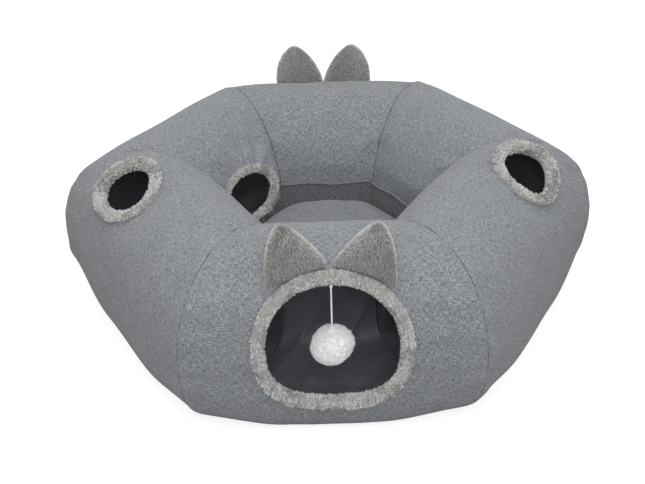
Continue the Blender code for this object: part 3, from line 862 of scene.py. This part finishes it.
def gather(roots, ways, lengths, spacing, hold, chance):
    """Draws the tufts into small locks, whose tips meet. Gives their ways, lengths and lock."""
    cells = np.floor((roots - roots.min(axis=0)) / spacing + chance.random(3)).astype(int)
    keys = cells @ np.array([1, 1000, 1000000])
    first = np.unique(keys, return_index=True)[1]
    heads = KDTree(len(first))
    for i, root in enumerate(first):
        heads.insert(roots[root], i)
    heads.balance()
    lock = np.array([heads.find(root)[1] for root in roots])
    head = first[lock]
    meeting = roots[head] + ways[head] * lengths[head, None] * LOCK_MEETING_SHARE
    tips = roots + ways * lengths[:, None]
    run = tips + (meeting - tips) * hold - roots
    return unit(run), np.linalg.norm(run, axis=1), lock


def grow_pile(piece, roots, facing, ways, lengths, chance, width, spacing, hold, light=1.0):
    """Adds a pointed tuft at each root: a slim three-sided spike whose ridge faces outwards."""
    count = len(roots)
    ways, lengths, lock = gather(roots, ways, lengths, spacing, hold, chance)
    lock_tint = chance.random(lock.max() + 1)[lock]
    side = unit(np.cross(ways, facing))
    ridge = np.cross(side, ways)
    foot = roots - facing * TUFT_SINK
    breadth = width * (SLIMMEST_SHARE + (2.0 - 2.0 * SLIMMEST_SHARE) * chance.random((count, 1)))
    left = foot - side * breadth / 2
    right = foot + side * breadth / 2
    top = foot + ridge * breadth * TUFT_RIDGE_SHARE
    tip = roots + ways * lengths[:, None]
    points = np.stack([left, right, top, tip], axis=1)
    faces = []
    for i in range(0, 4 * count, 4):
        faces.extend(((i, i + 1, i + 2), (i + 1, i, i + 3), (i + 2, i + 1, i + 3), (i, i + 2, i + 3)))
    pile = add_piece(f"{piece.name}_pile", points.reshape(-1, 3), faces, piece.data.materials[0])
    least, from_lock, own = TINT_SHARES
    # Each tuft's tint is partly its lock's and partly its own, times the painted light and shade that the
    # caller gives.
    tint = (least + from_lock * lock_tint + own * chance.random(count)) * light
    mark(pile, "tint", np.repeat(tint, 4))
    # Each tuft is painted from the roots' colour at its foot to the tips' colour at its point, a painted
    # shade towards the roots; the roll under the tufts is painted mostly in the roots' colour.
    mark(pile, "tip", np.tile(TUFT_TIP_MARKS, count))
    mark(piece, "tint", np.full(len(piece.data.vertices), ROLL_TINT))
    mark(piece, "tip", np.full(len(piece.data.vertices), ROLL_TIP_MARK))
    only(pile)
    bpy.ops.object.mode_set(mode="EDIT")
    bpy.ops.mesh.select_all(action="SELECT")
    bpy.ops.mesh.normals_make_consistent(inside=False)
    bpy.ops.object.mode_set(mode="OBJECT")
    only(piece, pile)
    bpy.ops.object.join()


def clump(piece, name, size, depth):
    """Breaks a smooth surface up into small rounded clumps."""
    clumps = bpy.data.textures.new(name, "VORONOI")
    clumps.noise_scale = size
    clumps.distance_metric = "DISTANCE_SQUARED"
    apply(piece, "DISPLACE", texture=clumps, texture_coords="LOCAL", strength=-depth, mid_level=0.25)
    bpy.ops.object.shade_smooth()


def beside_stitches(places, opening, lift):
    """How far places lie from the outer edge of a binding, at a lift above the cover."""
    edge, outward = opening.edge(np.linspace(0.0, 2 * math.pi, STITCH_STEPS))
    line = edge + outward * BINDING_FLANGE * opening.slimness
    stitches = KDTree(STITCH_STEPS)
    for i, stitch in enumerate(opening.tube.place(line[:, 0], line[:, 1], lift)):
        stitches.insert(stitch, i)
    stitches.balance()
    return np.array([stitches.find(place)[2] for place in places])


def some_shorter(length, count, chance):
    return length * (SHORTEST_SHARE + (1.0 - SHORTEST_SHARE) * chance.random(count))


def add_binding(name, opening, chance):
    rows = round(math.pi * (opening.length + opening.rise) / 2 / BINDING_CELL)
    turn = np.linspace(0.0, 2 * math.pi, rows + 1)
    edge, outward = opening.edge(turn)
    spin = np.linspace(0.0, 2 * math.pi, BINDING_ROUND + 1)
    round_it = np.array([np.cos(spin), np.sin(spin)])
    cosine, sine = np.sign(round_it) * np.abs(round_it) ** BINDING_SQUARENESS
    middle = BINDING_FLANGE - BINDING_NECK
    shift = (middle + (BINDING_FLANGE + BINDING_NECK) * cosine) / 2 * opening.slimness
    lift = np.where(sine >= 0, BINDING_LOFT, BINDING_DROP) * sine * opening.slimness
    lumps = BINDING_LUMP * np.sin(turn * 13.0 + 1.0) * np.sin(turn * 7.0)
    lumps = 1.0 + lumps + BINDING_LUMP / 2 * np.sin(turn * 29.0)
    flat = edge[:, None, :] + outward[:, None, :] * shift[None, :, None]
    points = opening.tube.place(flat[..., 0], flat[..., 1], lift[None, :] * lumps[:, None])
    roll = grid_of(f"{name}_plush", points, plush_pile)
    close_up(roll)
    clump(roll, f"{name}_clumps", CLUMP_SIZE, CLUMP_DEPTH)
    roots, facing = scatter(roll, TUFT_DENSITY, chance)
    lie = flow(roots, TUFT_FLOW, chance) + chance.normal(scale=TUFT_STRAY, size=facing.shape)
    ways = unit(facing + in_surface(lie, facing) * TUFT_LEAN)
    # Along the stitches the tufts are pressed shorter, and their tint is painted darker there: a painted
    # shade in the crease.
    pressed_and_painted_shade = np.clip(beside_stitches(roots, opening, 0.0) / STITCH_CREASE, STITCH_SHADE, 1.0)
    lengths = some_shorter(TUFT_LENGTH, len(roots), chance) * pressed_and_painted_shade
    grow_pile(roll, roots, facing, ways, lengths, chance, TUFT_WIDTH, LOCK_SPACING, LOCK_HOLD, pressed_and_painted_shade)
    settle(roll, "tunnel", "plush_binding", f"{name}_binding")


plush_pile = pile_finish("plush_pile", PLUSH_ROOT, PLUSH_TIP, 0.38, 0.3)
for number, (opening_name, opening) in enumerate(openings.items()):
    add_binding(opening_name, opening, np.random.default_rng(BINDING_SEED + number))


# Ears
# Two pairs of cat's ears in a shorter, combed plush, stuffed and sewn on behind the bindings of
# the two entries. They stand up by their stuffing alone.

EAR_VOXEL = 0.0024
EAR_SHRINK = 0.0014
EAR_TUFT_DENSITY = 2.3e6
EAR_TUFT_LENGTH = 0.0040
EAR_TUFT_WIDTH = 0.0009
EAR_TUFT_LEAN = 0.6
EAR_TUFT_STRAY = 0.35
EAR_FLOW_SHARE = 0.5
EAR_COMB_SHARE = 1.2
EAR_LOCK_SPACING = 0.0026
EAR_LOCK_HOLD = 0.55
# Painted shade: the ears' roots are their tips' colour painted much darker.
EAR_ROOT = (0.165, 0.161, 0.153)
EAR_TIP = (0.930, 0.914, 0.890)
# Painted light and shade on the ears' pile: its tint is darker on the ears' faces than at their rims, darker
# at their base and lighter towards their top.
EAR_FACE_PAINTED_SHADE = 0.62
EAR_BASE_PAINTED_SHADE = 0.84
EAR_TOP_PAINTED_LIGHT = 1.26
EAR_CREASE = 0.007
EAR_STITCH_LIFT = 0.0033
EAR_STITCH_SHARE = 0.4
EAR_SMOOTHINGS = 5
EAR_SEED = 200

ear_pile = pile_finish("ear_pile", EAR_ROOT, EAR_TIP, 0.12, 0.5)


def add_ear(node_name, opening, chance):
    ear = bpy.data.objects.new(f"{node_name}_plush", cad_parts[node_name].data.copy())
    bpy.context.scene.collection.objects.link(ear)
    dress(ear, ear_pile)
    close_up(ear)
    apply(ear, "REMESH", mode="VOXEL", voxel_size=EAR_VOXEL)
    apply(ear, "SMOOTH", factor=0.5, iterations=EAR_SMOOTHINGS)
    apply(ear, "DISPLACE", strength=-EAR_SHRINK, mid_level=0.0)
    bpy.ops.object.shade_smooth()
    low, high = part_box(node_name)
    roots, facing = scatter(ear, EAR_TUFT_DENSITY, chance)
    crown = np.array([(low.x + high.x) / 2, (low.y + high.y) / 2, high.z])
    lie = flow(roots, TUFT_FLOW, chance) * EAR_FLOW_SHARE + unit(roots - crown) * EAR_COMB_SHARE
    lie = lie + chance.normal(scale=EAR_TUFT_STRAY, size=facing.shape)
    ways = unit(facing + in_surface(lie, facing) * EAR_TUFT_LEAN)
    # Near the binding's stitches the ear's tufts are pressed shorter and painted darker, a painted shade in
    # the crease.
    pressed_and_painted_shade = np.clip(beside_stitches(roots, opening, EAR_STITCH_LIFT) / EAR_CREASE, 0.0, 1.0)
    painted_rim_light = np.sqrt(1.0 - np.abs(facing[:, 1]))
    rise = (roots[:, 2] - low.z) / (high.z - low.z)
    lengths = some_shorter(EAR_TUFT_LENGTH, len(roots), chance)
    lengths = lengths * (EAR_STITCH_SHARE + (1.0 - EAR_STITCH_SHARE) * pressed_and_painted_shade)
    # Painted light and shade: the tint is lighter at the ear's rim and towards its top, and darker on its
    # faces, at its base and in the crease by the stitches.
    light = (EAR_FACE_PAINTED_SHADE + (1.0 - EAR_FACE_PAINTED_SHADE) * painted_rim_light) * pressed_and_painted_shade
    light = light * (EAR_BASE_PAINTED_SHADE + (EAR_TOP_PAINTED_LIGHT - EAR_BASE_PAINTED_SHADE) * rise)
    grow_pile(
        ear, roots, facing, ways, lengths, chance, EAR_TUFT_WIDTH, EAR_LOCK_SPACING, EAR_LOCK_HOLD, light,
    )
    settle(ear, "tunnel", "ear_plush", node_name)


for number, ear_name in enumerate(("front_ear_left", "front_ear_right", "rear_ear_left", "rear_ear_right")):
    behind = openings[ear_name.split("_")[0] + "_entry"]
    add_ear(ear_name, behind, np.random.default_rng(EAR_SEED + number))


# Nest walls and floor
# Six upright panels of the cover's weave, sewn together at their ends and to the tubes' inner
# faces under a narrow hem, with a floor panel sewn in below.

NEST_WALL_TOP = 0.137
NEST_WALL_THICKNESS = 0.002
NEST_WALL_GAP = 0.0003
NEST_CORNER_GAP = 0.00015
NEST_FLOOR_TOP = 0.003
WALL_STEPS = 90
WALL_ROWS = 12
HEM_RADIUS = 0.0022
HEM_STEPS = 8
HEM_SAG = 0.0016
HEM_ANGLE = math.radians(50)
WALL_WAVE = 0.0009
WALL_WAVE_TURN = 21.0
WALL_WAVE_RATE = 40.0

# The nest's walls and floor are the cover's weave painted darker, a painted shade for their place down inside
# the ring.
shaded_nest_linen = linen_finish("shaded_nest_weave", 0.68)


def wall_profile():
    """The panel's section as (into the nest, height), up its back, over the hem and down its face."""
    profile = [(0.0, NEST_FLOOR_TOP + NEST_WALL_TOP * k / WALL_ROWS) for k in range(WALL_ROWS)]
    under = -math.acos(NEST_WALL_THICKNESS / HEM_RADIUS - 1.0)
    for k in range(HEM_STEPS + 1):
        turn = math.pi + (under - math.pi) * k / HEM_STEPS
        profile.append((HEM_RADIUS * (1.0 + math.cos(turn)), NEST_WALL_TOP + HEM_RADIUS * math.sin(turn)))
    for k in range(1, WALL_ROWS):
        profile.append((NEST_WALL_THICKNESS, NEST_WALL_TOP * (1.0 - k / WALL_ROWS)))
    profile.append((NEST_WALL_THICKNESS, NEST_FLOOR_TOP))
    profile.append((0.0, NEST_FLOOR_TOP))
    return np.array(profile)


def hem_share(tube, x):
    """How far up a wall reaches along a tube: all the way, or to the binding that crosses its hem."""
    hole = openings["nest_hole"]
    if hole.tube is not tube:
        return 1.0
    across_hole = np.clip(np.abs(x - hole.x) / (hole.length / 2 + BINDING_FLANGE), 0.0, 1.0)
    power = hole.fullness[1]
    dip = (hole.rise / 2 + BINDING_FLANGE) * (1.0 - across_hole ** power) ** (1.0 / power)
    return np.minimum(1.0, (NEST_HOLE["height"] - dip) / NEST_WALL_TOP)


def add_nest_wall(tube):
    profile = wall_profile()
    into, height = profile[:, 0], profile[:, 1]
    share = np.linspace(0.0, 1.0, WALL_STEPS + 1)[:, None]
    wave = np.sin(share * WALL_WAVE_TURN + tube.seed) * np.sin(height * WALL_WAVE_RATE + 1.0)
    depth = TUBE_WIDTH + NEST_WALL_GAP + into + WALL_WAVE * (1.0 + wave * np.sin(share * math.pi))
    start, end = tube.start_at(depth) + NEST_CORNER_GAP, tube.end_at(depth) - NEST_CORNER_GAP
    x = start + share * (end - start)
    sag = HEM_SAG * np.sin(share * math.pi * 3.0 + tube.seed) * (height / NEST_WALL_TOP)
    points = tube.world(x, depth, (height + sag) * hem_share(tube, x))
    wall = grid_of(f"{tube.name}_shaded_nest_linen", points, shaded_nest_linen)
    runs = np.linalg.norm(np.diff(profile, axis=0), axis=1)
    distance = np.broadcast_to(np.concatenate([[0.0], np.cumsum(runs)]), x.shape)
    lay_fabric(wall, np.stack([x, distance], axis=-1).reshape(-1, 2)[face_corners(wall)])
    close_up(wall)
    bpy.ops.object.mode_set(mode="EDIT")
    bpy.ops.mesh.select_mode(type="VERT")
    bpy.ops.mesh.select_all(action="DESELECT")
    bpy.ops.mesh.select_non_manifold(extend=False)
    bpy.ops.mesh.fill_holes(sides=0)
    bpy.ops.mesh.select_all(action="SELECT")
    bpy.ops.mesh.normals_make_consistent(inside=False)
    bpy.ops.object.mode_set(mode="OBJECT")
    bpy.ops.object.shade_smooth_by_angle(angle=HEM_ANGLE)
    settle(wall, "tunnel", "nest_fabric", f"{tube.name}_nest_wall")


for tube in tubes.values():
    add_nest_wall(tube)
dress(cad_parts["nest_floor"], linen_finish("shaded_nest_floor_weave", 0.68, uv=False))


# Cushion
# A loose stuffed cushion in the cover's weave, two panels sewn round the edge. Its crown swells,
# and its side is pressed against the six nest walls. Here it is blown up a little as cloth.

CUSHION_CENTRE = np.array([0.003, -0.004, 0.0])
CUSHION_REACH = 0.141
CUSHION_TOP = 0.129
CUSHION_BELT = 0.090
CUSHION_FLOOR_SPACE = 0.0012
CUSHION_WALL_SPACE = 0.0055
CUSHION_RING_SPACE = 0.009
CUSHION_CORNERS = 20
SIDE_FULLNESS = 4.0
CROWN_FULLNESS = 3.0
CUSHION_FOOT_FULLNESS = 6.0
CUSHION_SEGMENTS = 120
CUSHION_VOXEL = 0.0052
CUSHION_SHRINK = 0.002
CUSHION_PRESSURE = 4.0
CUSHION_FRAMES = 20
CUSHION_CAP = 0.003
CUSHION_SMOOTHINGS = 4


def blow_up(piece):
    """Lets the air in a stuffed piece press its cloth out, up to a small distance."""
    only(piece)
    rest = places_of(piece)
    cloth = piece.modifiers.new("cloth", "CLOTH")
    cloth.settings.use_pressure = True
    cloth.settings.uniform_pressure_force = CUSHION_PRESSURE
    cloth.settings.effector_weights.gravity = 0.0
    cloth.point_cache.frame_start = 1
    cloth.point_cache.frame_end = CUSHION_FRAMES
    for frame_number in range(1, CUSHION_FRAMES + 1):
        bpy.context.scene.frame_set(frame_number)
    bpy.ops.object.modifier_apply(modifier=cloth.name)
    bpy.context.scene.frame_set(1)
    move = places_of(piece) - rest
    far = np.maximum(np.linalg.norm(move, axis=1, keepdims=True), 1e-9)
    put(piece, rest + move * np.minimum(1.0, CUSHION_CAP / far))


bpy.ops.object.select_all(action="DESELECT")
bpy.ops.mesh.primitive_uv_sphere_add(segments=CUSHION_SEGMENTS, ring_count=CUSHION_SEGMENTS // 2, radius=1.0)
cushion = bpy.context.view_layer.objects.active
cushion.name = "stuffed_cushion"
# The cushion is the cover's weave painted a little darker, a painted shade.
cushion.data.materials.append(linen_finish("shaded_cushion_weave", 0.82))
ball = places_of(cushion).astype(float)
heading = unit(ball * (1.0, 1.0, 0.0))
crowding = np.full(len(ball), CUSHION_REACH ** -CUSHION_CORNERS)
for tube in tubes.values():
    beside_hole = openings["nest_hole"].tube is tube
    room = (CUSHION_CENTRE - tube.middle) @ tube.inward - TUBE_WIDTH
    room -= CUSHION_RING_SPACE if beside_hole else CUSHION_WALL_SPACE
    crowding += (np.maximum(-heading @ tube.inward, 0.0) / room) ** CUSHION_CORNERS
reach = crowding ** (-1.0 / CUSHION_CORNERS) * np.hypot(ball[:, 0], ball[:, 1]) ** (2.0 / SIDE_FULLNESS)
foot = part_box("nest_cushion")[0].z + CUSHION_FLOOR_SPACE
steep = np.abs(ball[:, 2])
above = (CUSHION_TOP - CUSHION_BELT) * steep ** (2.0 / CROWN_FULLNESS)
below = (foot - CUSHION_BELT) * steep ** (2.0 / CUSHION_FOOT_FULLNESS)
shape = CUSHION_CENTRE + heading * reach[:, None]
shape[:, 2] = CUSHION_BELT + np.where(ball[:, 2] > 0, above, below)
put(cushion, shape)
apply(cushion, "REMESH", mode="VOXEL", voxel_size=CUSHION_VOXEL)
apply(cushion, "DISPLACE", strength=-CUSHION_SHRINK, mid_level=0.0)
blow_up(cushion)
apply(cushion, "SMOOTH", factor=0.5, iterations=CUSHION_SMOOTHINGS)
apply(cushion, "SUBSURF", levels=1, render_levels=1)
bpy.ops.object.shade_smooth()
quads = (places_of(cushion) - CUSHION_CENTRE)[face_corners(cushion)].reshape(-1, 4, 3)
height = quads[..., 2]
upper = height.mean(axis=1, keepdims=True) > CUSHION_BELT
down_side = np.where(upper, height.max() - height, height - height.min())
from_middle = np.hypot(quads[..., 0], quads[..., 1]) + 1e-9
lay_fabric(cushion, quads[..., :2] * (1.0 + down_side / from_middle)[..., None])
settle(cushion, "cushion", "linen_weave", "nest_cushion")


# Pompom
# A ball of fine white yarn, bound tightly in the middle and trimmed by hand, so that it is a bit
# lumpy. The cord is caught in its binding.

POMPOM_DENSITY = 2.6e6
POMPOM_TUFT_LENGTH = 0.0044
POMPOM_TUFT_LEAN = 0.5
POMPOM_TUFT_WIDTH = 0.0010
POMPOM_SHORTEST_SHARE = 0.3
YARN_SPACING = 0.0040
YARN_HOLD = 0.25
YARN_CLUMP_SIZE = 0.0065
YARN_CLUMP_DEPTH = 0.0026
YARN_PEAK = 0.0045
YARN_PEAK_SHARPNESS = 60
# The yarn's roots are painted a little darker than its tips, a painted shade between the tufts.
POMPOM_SHADE = (0.94, 0.942, 0.95)
POMPOM_WHITE = (0.98, 0.98, 0.985)
POMPOM_SQUASH = (0.92, 0.94, 0.87)
POMPOM_LUMPS = (
    (0.7, -0.3, 0.65, 0.10),
    (0.0, -0.1, 1.0, -0.05),
    (-0.75, -0.2, 0.6, -0.07),
    (-0.9, -0.2, -0.3, 0.07),
    (0.65, -0.2, -0.75, -0.11),
)
LUMP_SHARPNESS = 4
POMPOM_SUBDIVISIONS = 6
POMPOM_SEED = 300

ball_low, ball_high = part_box("pompom")
ball_centre = np.array((ball_low + ball_high) / 2)
ball_radius = (ball_high.x - ball_low.x) / 2 - POMPOM_TUFT_LENGTH / 2
bpy.ops.object.select_all(action="DESELECT")
bpy.ops.mesh.primitive_ico_sphere_add(
    subdivisions=POMPOM_SUBDIVISIONS, radius=ball_radius, location=tuple(ball_centre),
)
pompom = bpy.context.view_layer.objects.active
pompom.name = "pompom_yarn"
bpy.ops.object.transform_apply(location=True, rotation=True, scale=True)
pompom.data.materials.append(pile_finish("pompom_yarn", POMPOM_SHADE, POMPOM_WHITE, 0.97, 0.8))
outward = places_of(pompom) - ball_centre
reach = np.ones(len(outward))
for *lump, depth in POMPOM_LUMPS:
    reach *= 1.0 + depth * np.maximum(unit(outward) @ unit(np.array(lump)), 0.0) ** LUMP_SHARPNESS
outward = outward * reach[:, None] * POMPOM_SQUASH
outward[:, 2] += YARN_PEAK * np.maximum(unit(outward)[:, 2], 0.0) ** YARN_PEAK_SHARPNESS
put(pompom, ball_centre + outward)
clump(pompom, "yarn_ends", YARN_CLUMP_SIZE, YARN_CLUMP_DEPTH)
chance = np.random.default_rng(POMPOM_SEED)
roots, facing = scatter(pompom, POMPOM_DENSITY, chance)
ways = unit(facing + in_surface(chance.normal(size=facing.shape), facing) * POMPOM_TUFT_LEAN)
trim = POMPOM_SHORTEST_SHARE + (1.0 - POMPOM_SHORTEST_SHARE) * chance.random(len(roots)) ** 2
lengths = POMPOM_TUFT_LENGTH * trim
grow_pile(pompom, roots, facing, ways, lengths, chance, POMPOM_TUFT_WIDTH, YARN_SPACING, YARN_HOLD)
settle(pompom, "pompom_toy", "white_yarn", "pompom")


# Studio
# A plain white floor that fades into the white background, under a large soft light from above
# and in front and a weak even fill.

FLOOR_SIZE = 12.0
FLOOR_GREY = (0.40, 0.40, 0.40)
FLOOR_GLOW = 0.79
FILL_LEVEL = 0.54
LIGHTS = (
    ("key", (0.1, -2.3, 1.9), 1.6, 35.0),
    ("top", (0.1, 0.1, 2.8), 1.8, 26.5),
)

bpy.ops.object.select_all(action="DESELECT")
bpy.ops.mesh.primitive_plane_add(size=FLOOR_SIZE)
floor = bpy.context.view_layer.objects.active
floor.name = "studio_floor"
floor_finish = Finish("studio_floor", FLOOR_GREY, 0.9)
camera_rays = floor_finish.node("ShaderNodeLightPath")
glow = floor_finish.node("ShaderNodeEmission", None, {"Strength": camera_rays * FLOOR_GLOW})
lit = Value(floor_finish, floor_finish.shader.outputs[0])
whitened = floor_finish.node("ShaderNodeAddShader", None, [lit, glow])
floor_finish.tree.links.new(whitened.socket, floor_finish.tree.nodes["Material Output"].inputs["Surface"])
floor.data.materials.append(floor_finish.material)

world = bpy.data.worlds.new("studio")
world.use_nodes = True
bpy.context.scene.world = world
sky = world.node_tree.nodes["Background"]
path = world.node_tree.nodes.new("ShaderNodeLightPath")
seen = world.node_tree.nodes.new("ShaderNodeMath")
seen.operation = "MAXIMUM"
world.node_tree.links.new(path.outputs["Is Camera Ray"], seen.inputs[0])
world.node_tree.links.new(path.outputs["Is Glossy Ray"], seen.inputs[1])
brightness = world.node_tree.nodes.new("ShaderNodeMapRange")
brightness.inputs["To Min"].default_value = FILL_LEVEL
brightness.inputs["To Max"].default_value = 1.0
world.node_tree.links.new(seen.outputs[0], brightness.inputs["Value"])
world.node_tree.links.new(brightness.outputs[0], sky.inputs["Strength"])
sky.inputs["Color"].default_value = (1.0, 1.0, 1.0, 1.0)

for light_name, place, size, power in LIGHTS:
    lamp = bpy.data.lights.new(light_name, "AREA")
    lamp.shape = "DISK"
    lamp.size = size
    lamp.energy = power
    light = bpy.data.objects.new(light_name, lamp)
    light.location = place
    light.rotation_euler = (TARGET - Vector(place)).to_track_quat("-Z", "Y").to_euler()
    bpy.context.scene.collection.objects.link(light)

bpy.context.scene.view_settings.view_transform = "Standard"
